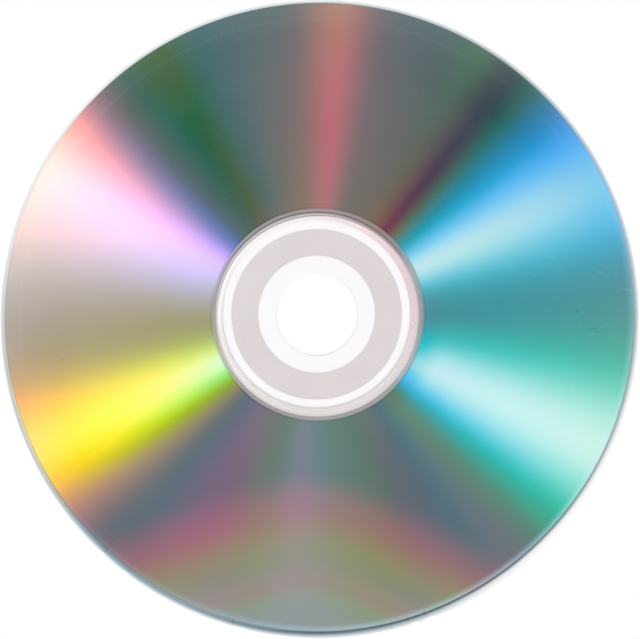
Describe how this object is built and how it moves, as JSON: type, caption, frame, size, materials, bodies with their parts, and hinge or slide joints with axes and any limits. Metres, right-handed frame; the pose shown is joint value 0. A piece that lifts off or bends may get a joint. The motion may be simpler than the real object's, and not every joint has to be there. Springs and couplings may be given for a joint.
{
  "type": "compact disc",
  "caption": "Flat clear plastic optical disc with a centre hole, a moulded stacking ring, an iridescent reflective layer and a plain printed label side.",
  "frame": {"origin": "centre of the hole, on the plane that the disc rests on (the label side)", "axes": "+Z along the axis of the hole, out of the read side; +X is to the right of the picture and +Y is up in it"},
  "size_m": [0.12, 0.12, 0.0014],
  "materials": {
    "clear_plastic": "clear moulded polycarbonate, polished",
    "dyed_silver": "silver over a blue-green dye, iridescent from the fine spiral track",
    "screen_ink": "screen-printed pale warm grey ink, satin"
  },
  "bodies": {
    "root": {"substrate": "clear_plastic", "reflective_layer": "dyed_silver", "label_print": "screen_ink", "hub_band": "screen_ink"}
  },
  "joints": []
}
